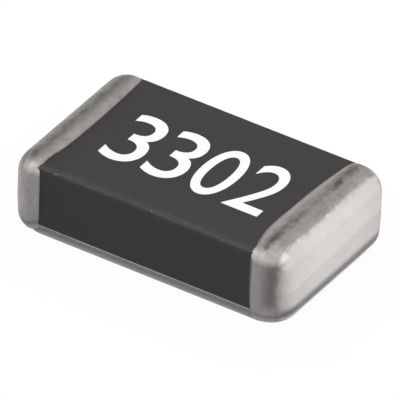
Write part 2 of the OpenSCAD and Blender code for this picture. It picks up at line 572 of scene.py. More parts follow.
@dataclass(frozen=True)
class TinFinish:
    """Plated tin, mottled on top and sides, with light and shade painted into its tone: bright and even on
    the end, dull on top and sides, dark along the crest.

    It follows two marks of the mesh: "outward" is 1 where a face turns to the end, and "upward" is 1 where it
    turns to the top and -1 at the sole. Fields that end in _out or _up are stretches of these two. A _hump is
    the middle of such a stretch and its reach.
    """

    name: str
    crest_x: float
    crown: Stops
    flank: Stops
    # Lift of the pale rim, a painted reflection, on the top and on the sides
    rim_on_top: float
    rim_on_side: float

    # The dark streak along the top, where it faces straight up: painted shade
    crest_reach: float = 0.052
    crest_top: float = 0.505
    crest_rise: float = 0.03
    crest_dark: float = 0.60
    crest_ease: float = 0.0
    crest_ease_y: Range = (0.06, 0.28)
    crest_stray: float = 0.06
    crest_patch: Range = (0.62, 0.38)
    crest_least: float = 0.40
    blotch: Cloud = Cloud((13.0, 10.0, 13.0), 4.0, 0.7)

    # Where the top, the sides and the end part, and how much that strays
    stray_mottle: float = 0.17
    stray_grain: float = 0.06
    steady_out: Range = (0.68, 0.88)
    top_up: Range = (0.35, 0.62)
    brow_up: Range = (0.10, 0.40)
    brow_out: Range = (0.70, 0.84)
    end_out: Range = (0.62, 0.80)

    # The pale rim, a painted reflection; the pale shoulder beside the top, a painted highlight; and the even
    # heel at the foot of the corner, which evens out the painted shade there
    rim_stray: float = 0.03
    rim_fade: Range = (0.02, 0.085)
    shoulder: float = 0.10
    shoulder_hump: Range = (0.58, 0.27)
    shoulder_out: Range = (0.38, 0.60)
    heel: float = 0.26
    heel_z: Range = (0.09, 0.20)
    heel_out: Range = (0.74, 0.60)

    # The end: darker below a slanting line; darker towards its sides and just above the sole, which is
    # painted shade
    slant_z: float = 0.270
    slant_edge: float = 0.006
    slant_tilt: float = 0.040
    slant_stray: float = 0.012
    slant_dark: float = 0.105
    aside_y: Range = (0.18, 0.50)
    aside_dark: float = 0.10
    back_y: Range = (0.49, 0.585)
    back_dark: float = 0.38
    end_foot: FootLine = FootLine(0.155, 0.098, 0.68)
    flank_foot: FootLine = FootLine(0.118, 0.076, 0.34)
    foot_out: Range = (0.50, 0.94)
    sole_up: Range = (-0.46, -0.18)

    # Patterns all over, calmer on the sides and the end, and bright specks along the brow, which are painted
    # glints
    patches: Mottle = Mottle(Cloud((6.0, 5.0, 6.0), 3.0, 0.6), 0.16, 0.03)
    mottle: Mottle = Mottle(Cloud((24.0, 17.0, 22.0), 4.0, 0.62), 0.20, 0.02)
    grain: Mottle = Mottle(Cloud((90.0, 90.0, 90.0), 3.0, 0.6), 0.16, 0.04)
    calm_side: float = 0.5
    calm_up: Range = (0.30, 0.55)
    calm_out: Range = (0.50, 0.72)
    speck: Cloud = Cloud((32.0, 32.0, 32.0), 2.0, 0.5)
    speck_patch: Range = (0.635, 0.70)
    speck_gain: float = 0.40
    speck_hump: Range = (0.62, 0.14)

    # Tints by tone: warm on top, rosy elsewhere
    warm_up: Range = (0.25, 0.60)
    warm: Tints = (
        (0.0, (0.0, 0.0, 0.0)),
        (0.25, (0.264, 0.250, 0.233)),
        (0.65, (0.672, 0.648, 0.632)),
        (1.0, (1.0, 0.985, 0.97)),
    )
    rosy: Tints = (
        (0.0, (0.0, 0.0, 0.0)),
        (0.25, (0.262, 0.247, 0.248)),
        (0.65, (0.670, 0.648, 0.634)),
        (1.0, (1.0, 0.985, 0.97)),
    )
    roughness: Range = (0.48, 0.36)
    bump_depth: float = 0.0025
    bump_grain: float = 0.35

    def material(self) -> bpy.types.Material:
        """Makes the material.

        Returns:
            The material.
        """
        sheet = NodeSheet(self.name)
        upward, facing = sheet.mark("upward"), sheet.mark("outward")
        layers = (self.patches, self.mottle, self.grain)
        patterns = [sheet.cloud(layer.cloud) for layer in layers]
        _, mottle, grain = patterns
        tone = self.tone(sheet, mottle, grain)
        calm = sheet.most(
            sheet.span(upward, *self.calm_up, self.calm_side, 0.0), sheet.span(facing, *self.calm_out)
        )
        for layer, pattern in zip(layers, patterns):
            tone = layer.vary(sheet, tone, pattern, calm)
        tone = sheet.plus(tone, self.specks(sheet, facing, upward))
        on_top = sheet.span(upward, *self.warm_up)
        sheet.paint(sheet.mix(on_top, sheet.ramp(tone, self.rosy), sheet.ramp(tone, self.warm)))
        sheet.shader.inputs["Metallic"].default_value = 1.0
        sheet.polish(mottle, self.roughness)
        fine, coarse = sheet.times(grain, self.bump_grain), sheet.times(mottle, 1.0 - self.bump_grain)
        sheet.bump(sheet.plus(fine, coarse), self.bump_depth)
        return sheet.material

    def tone(self, sheet: NodeSheet, mottle: Socket, grain: Socket) -> Socket:
        """Works out how light the metal is at each point.

        Args:
            sheet: Node tree to add to.
            mottle: Pattern of blotches.
            grain: Pattern of fine grain.

        Returns:
            Grey level of the metal.
        """
        facing, upward = sheet.mark("outward"), sheet.mark("upward")
        strayed = sheet.wobble(sheet.wobble(facing, mottle, self.stray_mottle), grain, self.stray_grain)
        outward = sheet.blend(sheet.span(facing, *self.steady_out), strayed, facing)
        blotch = sheet.cloud(self.blotch)
        tone = self.plain_tone(sheet, outward, upward, mottle)
        tone = sheet.darken(tone, self.crest(sheet, blotch))
        end = sheet.span(outward, *self.end_out)
        for share in (self.slant_step(sheet, blotch), self.sides_of_end(sheet)):
            tone = sheet.darken(tone, sheet.times(end, share))
        return sheet.darken(tone, self.foot(sheet, facing, upward))

    def plain_tone(self, sheet: NodeSheet, outward: Socket, upward: Socket, mottle: Socket) -> Socket:
        """Works out the painted light and shade that follow from which way the face turns, with the rim and
        the heel.

        Args:
            sheet: Node tree to add to.
            outward: How far the face turns to the end.
            upward: How far the face turns to the top.
            mottle: Pattern of blotches.

        Returns:
            The tone.
        """
        brow = sheet.times(sheet.span(upward, *self.brow_up), sheet.span(outward, *self.brow_out))
        on_top = sheet.most(sheet.span(upward, *self.top_up), brow)
        # Painted light and shade: the tone follows how far the face turns to the end and to the top
        tone = sheet.blend(on_top, sheet.grey_ramp(outward, self.flank), sheet.grey_ramp(outward, self.crown))
        # Painted reflection: a pale strip along the rim, paler on top than on the sides
        rim = sheet.wobble(sheet.mark("rim_gap"), mottle, self.rim_stray)
        lift = sheet.blend(on_top, self.rim_on_side, self.rim_on_top)
        tone = sheet.plus(tone, sheet.times(lift, sheet.span(rim, *self.rim_fade, 1.0, 0.0)))
        # Painted highlight: a pale band along the shoulder between the top and the side
        shoulder = sheet.hump(upward, *self.shoulder_hump)
        shoulder = sheet.times(shoulder, sheet.span(outward, *self.shoulder_out, 1.0, 0.0))
        tone = sheet.plus(tone, sheet.times(shoulder, self.shoulder))
        # The heel blends the foot of the flank and the corner to one even tone, lifting the painted shade
        # there
        low = sheet.span(sheet.mm(Axis.Z), *self.heel_z, 1.0, 0.0)
        return sheet.blend(sheet.times(low, sheet.span(outward, *self.heel_out)), tone, self.heel)

    def crest(self, sheet: NodeSheet, blotch: Socket) -> Socket:
        """Works out the dark streak of painted shade along the top of the cap.

        Args:
            sheet: Node tree to add to.
            blotch: Pattern that breaks the streak up.

        Returns:
            Share of the tone that it takes away.
        """
        along = sheet.wobble(sheet.size_of(Axis.X), blotch, self.crest_stray)
        streak = sheet.hump(along, self.crest_x, self.crest_reach)
        height = sheet.span(sheet.mm(Axis.Z), self.crest_top, self.crest_top + self.crest_rise)
        broken = sheet.span(blotch, *self.crest_patch, self.crest_least, 1.0)
        ease = sheet.span(sheet.size_of(Axis.Y), *self.crest_ease_y, 1.0 - self.crest_ease, 1.0)
        for factor in (height, broken, sheet.times(ease, self.crest_dark)):
            streak = sheet.times(streak, factor)
        return streak

    def slant_step(self, sheet: NodeSheet, blotch: Socket) -> Socket:
        """Works out the darker lower part of the end, below a slanting line.

        Args:
            sheet: Node tree to add to.
            blotch: Pattern that makes the line uneven.

        Returns:
            Share of the tone that it takes away.
        """
        slant = sheet.times(sheet.mm(Axis.Y), self.slant_tilt)
        level = sheet.wobble(sheet.math("SUBTRACT", sheet.mm(Axis.Z), slant), blotch, self.slant_stray)
        low, high = self.slant_z - self.slant_edge, self.slant_z + self.slant_edge
        return sheet.span(level, low, high, self.slant_dark, 0.0)

    def sides_of_end(self, sheet: NodeSheet) -> Socket:
        """Works out the share of the tone that the end loses to painted shade towards its sides, most of all
        at the back.
        """
        aside = sheet.span(sheet.size_of(Axis.Y), *self.aside_y, 0.0, self.aside_dark)
        return sheet.plus(aside, sheet.span(sheet.mm(Axis.Y), *self.back_y, 0.0, self.back_dark))

    def foot(self, sheet: NodeSheet, facing: Socket, upward: Socket) -> Socket:
        """Works out the dark line of painted shade above the sole, which turns the corner from the flank to
        the end.

        Args:
            sheet: Node tree to add to.
            facing: How far the face turns to the end.
            upward: How far the face turns to the top.

        Returns:
            Share of the tone that it takes away.
        """
        lines = [line.share(sheet, sheet.mm(Axis.Z)) for line in (self.flank_foot, self.end_foot)]
        line = sheet.blend(sheet.span(facing, *self.foot_out), *lines)
        return sheet.times(line, sheet.span(upward, *self.sole_up))

    def specks(self, sheet: NodeSheet, facing: Socket, upward: Socket) -> Socket:
        """Works out the bright specks along the brow, between the top and the end, which are painted glints.

        Args:
            sheet: Node tree to add to.
            facing: How far the face turns to the end.
            upward: How far the face turns to the top.

        Returns:
            Tone that they add.
        """
        specks = sheet.span(sheet.cloud(self.speck), *self.speck_patch)
        brow = sheet.times(sheet.hump(facing, *self.speck_hump), upward)
        return sheet.times(sheet.times(specks, self.speck_gain), brow)


@dataclass(frozen=True)
class OvercoatFinish:
    """Charcoal epoxy coat: satin, with a very fine grain, a top painted lighter than its sides as painted
    light, and long edges that are partly worn and partly a painted highlight.
    """

    name: str = "charcoal_overcoat"
    # The top is painted lighter than the sides, as painted light from above
    top: Colour = (0.0228, 0.0200, 0.0212)
    side: Colour = (0.0150, 0.0145, 0.0185)
    # Lighter edge colour: partly wear, partly a painted highlight
    edge_wear_and_highlight: Colour = (0.058, 0.055, 0.057)
    chipped: Colour = (0.15, 0.143, 0.146)
    grain: Cloud = Cloud((60.0, 60.0, 60.0))
    drift: Cloud = Cloud((1.6, 2.2, 1.6), 2.0, 0.5)
    streak: Cloud = Cloud((9.0, 60.0, 60.0), 3.0, 0.6)
    chip: Cloud = Cloud((24.0, 42.0, 42.0), 2.0, 0.5)
    turn_z: Range = (0.45, 0.48)
    edge_z: Range = (0.47, 0.49)
    near_y: Range = (-0.561, -0.511)
    near_wear_and_sheen: float = 0.55
    streak_patch: Range = (0.25, 0.65)
    streak_least: float = 0.45
    chip_edge: Range = (0.2, 0.8)
    chip_patch: Range = (0.62, 0.71)
    chip_y: Range = (-0.1, 0.1)
    grain_shade: Range = (0.93, 1.03)
    drift_shade: Range = (-0.04, 0.06)
    roughness: Range = (0.46, 0.56)
    specular: float = 0.3
    bump_depth: float = 0.0006

    def material(self) -> bpy.types.Material:
        """Makes the material.

        Returns:
            The material.
        """
        sheet = NodeSheet(self.name)
        grain, drift = sheet.cloud(self.grain), sheet.cloud(self.drift)
        # Painted light: lighter on the top than on the sides
        colour = sheet.mix(sheet.span(sheet.mm(Axis.Z), *self.turn_z), self.side, self.top)
        edge = sheet.mark("edge")
        # Wear and a painted highlight along the long edges, with wear and a painted sheen beside the front
        # one
        colour = sheet.mix(self.wear_and_highlight_share(sheet, edge), colour, self.edge_wear_and_highlight)
        colour = sheet.mix(self.chips(sheet, edge), colour, self.chipped)
        shade = sheet.plus(
            sheet.span(grain, *SPREAD, *self.grain_shade), sheet.span(drift, *SPREAD, *self.drift_shade)
        )
        sheet.paint(sheet.shade(colour, shade))
        sheet.shader.inputs["Specular IOR Level"].default_value = self.specular
        sheet.polish(grain, self.roughness)
        sheet.bump(grain, self.bump_depth)
        return sheet.material

    def wear_and_highlight_share(self, sheet: NodeSheet, edge: Socket) -> Socket:
        """Works out where the coat is worn and lit: on its long edges, which carry wear and a painted
        highlight, and beside the front one, where wear and a painted sheen lie.

        Args:
            sheet: Node tree to add to.
            edge: 1 on the round of a long edge.

        Returns:
            Share of the rubbed colour.
        """
        streaks = sheet.cloud(self.streak)
        near = sheet.span(sheet.mm(Axis.Y), *self.near_y, self.near_wear_and_sheen, 0.0)
        near = sheet.times(near, sheet.span(sheet.mm(Axis.Z), *self.edge_z))
        broken = sheet.span(streaks, *self.streak_patch, self.streak_least, 1.0)
        return sheet.times(sheet.most(edge, near), broken)

    def chips(self, sheet: NodeSheet, edge: Socket) -> Socket:
        """Works out the small chips on the front edge.

        Args:
            sheet: Node tree to add to.
            edge: 1 on the round of a long edge.

        Returns:
            Share of the chipped colour.
        """
        patch = sheet.span(sheet.cloud(self.chip), *self.chip_patch)
        chip = sheet.times(sheet.span(edge, *self.chip_edge), patch)
        return sheet.times(chip, sheet.span(sheet.mm(Axis.Y), *self.chip_y, 1.0, 0.0))


@dataclass(frozen=True)
class CeramicFinish:
    """Fired alumina: its sawn sides painted grey as painted shade, with a painted highlight along the top of
    the lip, and paler underneath.
    """

    name: str = "grey_alumina"
    # Grey of the sawn sides: painted shade on the pale alumina
    sawn: Colour = (0.165, 0.157, 0.162)
    # A pale line along the top of the lip: a painted highlight
    lip: Colour = (0.38, 0.37, 0.375)
    under: Colour = (0.52, 0.51, 0.50)
    grain: Cloud = Cloud((25.0, 60.0, 60.0), 4.0, 0.6)
    sway: Cloud = Cloud((6.0, 6.0, 6.0))
    lip_z: Range = (0.049, 0.059)
    lip_stray: float = 0.008
    under_z: Range = (0.0281, 0.0285)
    grain_shade: Range = (0.88, 1.12)
    roughness: Range = (0.52, 0.68)
    bump_depth: float = 0.0015

    def material(self) -> bpy.types.Material:
        """Makes the material.

        Returns:
            The material.
        """
        sheet = NodeSheet(self.name)
        grain = sheet.cloud(self.grain)
        height = sheet.wobble(sheet.mm(Axis.Z), sheet.cloud(self.sway), self.lip_stray)
        # Painted shade on the sawn sides, with a painted highlight along the top of the lip
        colour = sheet.mix(sheet.span(height, *self.lip_z), self.sawn, self.lip)
        floor = sheet.span(sheet.mm(Axis.Z), *self.under_z, 1.0, 0.0)
        colour = sheet.mix(floor, colour, self.under)
        sheet.paint(sheet.shade(colour, sheet.span(grain, *SPREAD, *self.grain_shade)))
        sheet.polish(grain, self.roughness)
        sheet.bump(grain, self.bump_depth)
        return sheet.material


@dataclass(frozen=True)
class InkFinish:
    """White printing ink, a little uneven."""

    name: str = "white_ink"
    base: Colour = (0.97, 0.97, 0.97)
    thin: Colour = (0.93, 0.93, 0.93)
    grain: Cloud = Cloud((40.0, 40.0, 40.0), 3.0, 0.5)
    thin_patch: Range = (0.30, 0.55)
    roughness: Range = (0.50, 0.60)
    bump_depth: float = 0.0004

    def material(self) -> bpy.types.Material:
        """Makes the material.

        Returns:
            The material.
        """
        sheet = NodeSheet(self.name)
        grain = sheet.cloud(self.grain)
        sheet.paint(sheet.mix(sheet.span(grain, *self.thin_patch), self.thin, self.base))
        sheet.polish(grain, self.roughness)
        sheet.bump(grain, self.bump_depth)
        return sheet.material


@dataclass(frozen=True)
class LayerFinish:
    """A fired or plated layer that the outer skins hide."""

    name: str
    base: Colour
    metal: float
    roughness: Range
    grain: Cloud = Cloud((45.0, 45.0, 45.0))
    dark: float = 0.85
    light: float = 1.1
    bump_depth: float = 0.0008

    def material(self) -> bpy.types.Material:
        """Makes the material.

        Returns:
            The material.
        """
        sheet = NodeSheet(self.name)
        grain = sheet.cloud(self.grain)
        low = tuple(c * self.dark for c in self.base)
        high = tuple(min(c * self.light, 1.0) for c in self.base)
        sheet.paint(sheet.mix(sheet.span(grain, *SPREAD), low, high))
        sheet.shader.inputs["Metallic"].default_value = self.metal
        sheet.polish(grain, self.roughness)
        sheet.bump(grain, self.bump_depth)
        return sheet.material


# Pieces of the chip


@dataclass(frozen=True)
class RimSag:
    """A place where a cap's rim crept further onto the body, or stopped short of it."""

    at: float
    reach: float
    depth: float

    def shift(self, y: float) -> float:
        """How far the rim moves at a place across the chip."""
        return self.depth * math.exp(-(((y - self.at) / self.reach) ** 2))


@dataclass(frozen=True)
class Dip:
    """How one end was dipped: the finish of its tin, and the bow and sag of its rim."""

    finish: TinFinish
    bow: float
    side_bow: float
    sag: RimSag


@dataclass(frozen=True)
class CapLayer:
    """One metal layer of a cap, and how far it lies inside the cap's outer faces."""

    title: str
    node: str
    slot: str
    inset: float
    thickness: float
    rim_back: float
    tuck: float
    waviness: float


@dataclass(frozen=True)
class BodyReach:
    """How far the body that a rim thins out onto reaches from the middle of the chip."""

    coat_side: float
    coat_top: float
    ceramic_side: float
    ceramic_low: float
    corner: float


@dataclass
class EndCap:
    """A dipped metal layer over one end of the chip."""

    side: Side
    layer: CapLayer
    dip: Dip
    length: float
    width: float
    height: float
    band: float
    body: BodyReach
    outer_radius: float = 0.17
    outer_land_radius: float = 0.10
    round_steps: int = 14
    land_steps: int = 8
    cuts_across: int = 31
    cuts_up: int = 9
    cuts_rim: int = 8
    cuts_along: int = 3
    rim_run: float = 0.085
    lip: float = 0.032
    weld: float = 0.0025
    sliver: float = 0.00025
    wave_size: float = 7.0
    wave_fade: Range = (0.01, 0.06)
    bow_width: float = 0.55
    bow_run: float = 0.11
    side_bow_rest: float = 0.4
    squeeze: float = 0.013
    squeeze_z: Range = (0.22, 0.05)
    coat_from: Range = (-0.40, -0.10)
    corner_from: Range = (0.8, 1.0)

    def __post_init__(self) -> None:
        """Works out the layer's own faces and radii."""
        inset = self.layer.inset
        self.end = self.length / 2 - inset
        self.half = self.width / 2 - inset
        self.low = inset
        self.top = self.height - inset
        self.start = self.length / 2 - self.band + self.layer.rim_back
        self.radius = self.outer_radius - inset
        self.land_radius = self.outer_land_radius - inset

    def build(self) -> bpy.types.Object:
        """Shapes the layer as an open rounded box whose rim thins out onto the body.

        Returns:
            The layer, standing in for its CAD node.
        """
        bm = self.rounded_shell()
        self.cut_up(bm)
        self.store_marks(bm)
        for vert in bm.verts:
            self.ease(vert)
        gap = bm.verts.layers.float["rim_gap"]
        for face in bm.faces:
            face.smooth = any(vert[gap] > TINY for vert in face.verts)
        thicken(bm, self.layer.thickness)
        if self.side is Side.LEFT:
            turn = Matrix.Rotation(math.pi, 3, "Z")
            bmesh.ops.rotate(bm, cent=(0.0, 0.0, 0.0), matrix=turn, verts=bm.verts)
        piece = piece_from(bm, f"{self.side.value}_{self.layer.title}")
        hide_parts(f"{self.side.value}_{self.layer.node}")
        return piece

    def rounded_shell(self) -> bmesh.types.BMesh:
        """Makes the rounded box, open at its mouth except for a narrow lip.

        Returns:
            The open shell as a sheet without thickness.
        """
        bm = box_mesh((self.start, -self.half, self.low), (self.end, self.half, self.top))
        far_end = edges_where(bm, lambda c: c.x > self.end - TINY)
        upright = [e for e in far_end if abs(e.verts[0].co.z - e.verts[1].co.z) > TINY]
        lid = edges_where(bm, lambda c: c.z > self.top - TINY)
        brow = [e for e in lid if any(v.co.x > self.end - TINY for v in e.verts)]
        round_edges(bm, upright + brow, self.radius, self.round_steps)
        sole = edges_where(bm, lambda c: c.z < self.low + TINY)
        sole = [e for e in sole if any(v.co.x > self.start + TINY for v in e.verts)]
        round_edges(bm, sole, self.land_radius, self.land_steps)
        mouth = [f for f in bm.faces if all(abs(v.co.x - self.start) < TINY for v in f.verts)]
        bmesh.ops.inset_region(bm, faces=mouth, thickness=self.lip, use_even_offset=True)
        bmesh.ops.delete(bm, geom=mouth, context="FACES_ONLY")
        return bm

    def cut_up(self, bm: bmesh.types.BMesh) -> None:
        """Cuts the shell fine enough to be eased, and clears the slivers that the cuts leave.

        Args:
            bm: Shell to cut.
        """
        slice_up(bm, Axis.Y, self.radius - self.half, self.half - self.radius, self.cuts_across)
        slice_up(bm, Axis.Z, self.low + self.land_radius, self.top - self.radius, self.cuts_up)
        run_end = self.start + self.rim_run
        slice_up(bm, Axis.X, self.start, run_end, self.cuts_rim)
        slice_up(bm, Axis.X, run_end, max(self.end - self.radius, run_end), self.cuts_along)
        bmesh.ops.remove_doubles(bm, verts=bm.verts, dist=self.weld)
        bmesh.ops.dissolve_degenerate(bm, edges=bm.edges, dist=self.sliver)
        bmesh.ops.recalc_face_normals(bm, faces=bm.faces)
        bm.normal_update()

    def store_marks(self, bm: bmesh.types.BMesh) -> None:
        """Stores which way each point faces and how far it is from the rim, for the finish to follow.

        Args:
            bm: Shell to mark, before it is eased.
        """
        outward = bm.verts.layers.float.new("outward")
        upward = bm.verts.layers.float.new("upward")
        rim_gap = bm.verts.layers.float.new("rim_gap")
        for vert in bm.verts:
            vert[outward] = max(vert.normal.x, 0.0)
            vert[upward] = vert.normal.z
            vert[rim_gap] = vert.co.x - self.start

    def ease(self, vert: bmesh.types.BMVert) -> None:
        """Moves one point for the thin rim, its bow and the unevenness of the dip.

        Args:
            vert: Point of the rounded box.
        """
        y, z = vert.co.y, vert.co.z
        bend = self.radius if z > self.low + self.land_radius else self.land_radius
        across = self.across_at(y, z, bend)
        wavy = noise.noise(vert.co * self.wave_size) * 0.5 + 0.5
        vert.co -= vert.normal * self.layer.waviness * wavy * smooth_between(z - self.low, *self.wave_fade)
        short = min(max(1.0 - (vert.co.x - self.start) / self.rim_run, 0.0), 1.0)
        vert.co -= across * self.drop_towards(across, bend) * short**2
        run = max(self.end - self.radius - self.start, self.bow_run)
        along = smooth_between(vert.co.x, self.start + run, self.start)
        past = smooth_between(vert.co.x, self.end - self.radius, self.end)
        vert.co.x += self.rim_shift(y, z, across) * along
        vert.co.x -= self.squeeze * smooth_between(z, *self.squeeze_z) * (y / self.half) ** 4 * past

    def across_at(self, y: float, z: float, bend: float) -> Vector:
        """Finds the direction across the chip, away from the middle of the nearest bend.

        Args:
            y: Place across the chip.
            z: Height.
            bend: Radius of the bend.

        Returns:
            The direction, or no length on the middle line itself.
        """
        core_y = min(max(y, bend - self.half), self.half - bend)
        core_z = min(max(z, self.low + self.land_radius), self.top - self.radius)
        across = Vector((0.0, y - core_y, z - core_z))
        if across.length > TINY:
            across.normalize()
        return across

    def rim_shift(self, y: float, z: float, across: Vector) -> float:
        """Works out how far the rim is drawn back by its bow over the top and sides and by its sag.

        Args:
            y: Place across the chip.
            z: Height.
            across: Direction across the chip there.

        Returns:
            The shift along the chip in millimetres.
        """
        bow = self.dip.bow * (min(abs(y), self.bow_width) / self.half) ** 2
        level = (2.0 * z - self.low - self.top) / (self.top - self.low)
        bow += self.dip.side_bow * (level**2 - self.side_bow_rest) * abs(across.y)
        return bow + self.dip.sag.shift(y)

    def drop_towards(self, across: Vector, bend: float) -> float:
        """Works out how far the rim falls in one direction to tuck in just below the body's surface.

        Args:
            across: Direction across the chip, away from the middle of the bend.
            bend: Radius of the bend.

        Returns:
            The fall in millimetres.
        """
        coated = smooth_between(across.z, *self.coat_from)
        side = self.body.ceramic_side + (self.body.coat_side - self.body.ceramic_side) * coated
        side += bend - self.half
        if across.z > 0.0:
            lid = self.body.coat_top - self.top + bend
        else:
            lid = self.low + bend - self.body.ceramic_low
        near, far = sorted((side / max(abs(across.y), TINY), lid / max(abs(across.z), TINY)))
        worn = self.body.corner * smooth_between(near / far, *self.corner_from) if across.z > 0.0 else 0.0
        return max(bend - near + worn, 0.0) + self.layer.tuck

    def dress(self, piece: bpy.types.Object, material: bpy.types.Material) -> None:
        """Gives the layer its finish."""
        dress(piece, material)


@dataclass
class Overcoat:
    """The black coat over the top and down both long sides."""

    low: Point
    high: Point
    node: str = "black_overcoat"
    roof: float = 0.022
    skirt: float = 0.012
    mouth: float = 0.0108
    radius: float = 0.016
    radius_steps: int = 6
    back_radius: float = 0.008
    back_steps: int = 4
    slices: int = 110
    fray: float = 0.0035
    fray_size: Point = (26.0, 9.0, 9.0)
    back_fray: float = 0.0007

    def build(self) -> bpy.types.Object:
        """Shapes the coat as a shallow upturned channel with slightly frayed long edges.

        Returns:
            The coat, standing in for its CAD node.
        """
        bm = self.channel()
        front = edges_where(bm, lambda c: c.z > self.high[2] - TINY and c.y < self.low[1] + TINY)
        round_edges(bm, front, self.radius, self.radius_steps)
        back = edges_where(bm, lambda c: c.z > self.high[2] - TINY and c.y > self.high[1] - TINY)
        round_edges(bm, back, self.back_radius, self.back_steps)
        slice_up(bm, Axis.X, self.low[0], self.high[0], self.slices)
        edge = bm.verts.layers.float.new("edge")
        for vert in bm.verts:
            if self.on_edge(vert.co):
                vert[edge] = 1.0
                self.wear(vert)
        bmesh.ops.recalc_face_normals(bm, faces=bm.faces)
        for face in bm.faces:
            face.smooth = any(vert[edge] > 0.5 for vert in face.verts)
        piece = piece_from(bm, "overcoat_skin")
        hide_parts(self.node)
        return piece

    def channel(self) -> bmesh.types.BMesh:
        """Makes the plain channel, open below and at both ends but for a thread of coat.

        Returns:
            The channel with sharp edges.
        """
        bm = box_mesh(self.low, self.high)
        floor = [f for f in bm.faces if f.normal.z < -0.5]
        bmesh.ops.inset_region(bm, faces=floor, thickness=self.skirt, use_even_offset=True)
        for vert in floor[0].verts:
            vert.co.x += math.copysign(self.mouth, vert.co.x)
        hollow = bmesh.ops.extrude_discrete_faces(bm, faces=floor)["faces"]
        depth = self.high[2] - self.roof - self.low[2]
        bmesh.ops.translate(bm, vec=(0.0, 0.0, depth), verts=hollow[0].verts)
        return bm

    def on_edge(self, spot: Vector) -> bool:
        """Tells whether a point lies on the round of a long top edge, between its two flats.

        Args:
            spot: Point in millimetres.

        Returns:
            Whether it does.
        """
        radius = self.radius if spot.y < 0.0 else self.back_radius
        side = self.high[1] - radius + TINY < abs(spot.y) < self.high[1] - TINY
        return side and spot.z > self.high[2] - radius + TINY

    def wear(self, vert: bmesh.types.BMVert) -> None:
        """Wears one point of a long edge back a little.

        Args:
            vert: Point on the round of the edge.
        """
        rough = noise.noise(Vector([c * size for c, size in zip(vert.co, self.fray_size)]))
        worn = max(rough, 0.0) * (self.fray if vert.co.y < 0.0 else self.back_fray)
        vert.co.y -= math.copysign(worn, vert.co.y)
        vert.co.z -= worn

    def dress(self, piece: bpy.types.Object, finish: OvercoatFinish) -> None:
        """Gives the coat its finish."""
        dress(piece, finish.material())


@dataclass
class Marking:
    """White numerals printed on the coat: a plain resistance value."""

    deck: float
    figures: str = "3302"
    figure_height: float = 0.525
    figure_width: float = 0.258
    pitch: float = 0.305
    middle_x: float = -0.011
    middle_y: float = 0.004
    ink: float = 0.0025
    sink: float = 0.0005
    weight: float = 0.002
    curve_steps: int = 10
    raw_depth: float = 0.5

    def build(self) -> bpy.types.Object:
        """Shapes the numerals as one thin raised print.

        Returns:
            The print, lying on the coat.
        """
        bm = bmesh.new()
        first = self.middle_x - self.pitch * (len(self.figures) - 1) / 2
        for i, figure in enumerate(self.figures):
            self.add_figure(bm, figure, first + self.pitch * i)
        bmesh.ops.remove_doubles(bm, verts=bm.verts, dist=TINY)
        bmesh.ops.recalc_face_normals(bm, faces=bm.faces)
        return piece_from(bm, "value_print")

    def add_figure(self, bm: bmesh.types.BMesh, figure: str, x: float) -> None:
        """Adds one numeral, fitted to its place.

        Args:
            bm: Mesh to add to.
            figure: The numeral.
            x: Middle of its place in millimetres.
        """
        curve = bpy.data.curves.new("figure", "FONT")
        curve.body = figure
        curve.resolution_u = self.curve_steps
        curve.offset = self.weight
        curve.extrude = self.raw_depth
        text = bpy.data.objects.new("figure", curve)
        mesh = bpy.data.meshes.new_from_object(text)
        old = set(bm.verts)
        bm.from_mesh(mesh)
        fresh = [v for v in bm.verts if v not in old]
        low = [min(v.co[i] for v in fresh) for i in range(3)]
        high = [max(v.co[i] for v in fresh) for i in range(3)]
        bmesh.ops.translate(bm, vec=[-(l + h) / 2 for l, h in zip(low, high)], verts=fresh)
        goal = (self.figure_width, self.figure_height, self.ink)
        bmesh.ops.scale(bm, vec=[g / (h - l) for g, l, h in zip(goal, low, high)], verts=fresh)
        place = (x, self.middle_y, self.deck + self.ink / 2 - self.sink)
        bmesh.ops.translate(bm, vec=place, verts=fresh)
        bpy.data.objects.remove(text)
        bpy.data.curves.remove(curve)
        bpy.data.meshes.remove(mesh)

    def dress(self, piece: bpy.types.Object, finish: InkFinish) -> None:
        """Gives the print its finish."""
        dress(piece, finish.material())


@dataclass
class InnerStack:
    """The layers that the coat and the caps hide, kept as they come from the CAD."""

    made: dict[str, bpy.types.Material]
    members: dict[str, str]

    def dress(self, nodes: dict[str, bpy.types.Object]) -> None:
        """Gives every hidden node the finish of its slot."""
        for node, slot in self.members.items():
            dress(nodes[node], self.made[slot])


# Studio


@dataclass(frozen=True)
class Softbox:
    """A square soft lamp that faces the chip.

    Its turn is in degrees round the chip from its front, towards +X, and its rise in degrees above the floor.
    A power of 1 lights a white surface that faces the lamp to about white.
    """

    name: str
    turn: float
    rise: float
    size: float
    power: float
    away: float = 40.0

    def hang(self) -> bpy.types.Object:
        """Hangs the lamp.

        Returns:
            The lamp.
        """
        a, e = math.radians(self.turn), math.radians(self.rise)
        spot = Vector((math.sin(a) * math.cos(e), -math.cos(a) * math.cos(e), math.sin(e))) * self.away
        data = bpy.data.lights.new(self.name, "AREA")
        data.size = self.size * MILLI
        data.energy = self.power * (math.pi * self.away * MILLI) ** 2
        lamp = bpy.data.objects.new(self.name, data)
        lamp.location = spot * MILLI
        lamp.rotation_mode = "QUATERNION"
        lamp.rotation_quaternion = spot.to_track_quat("Z", "Y")
        bpy.context.scene.collection.objects.link(lamp)
        return lamp


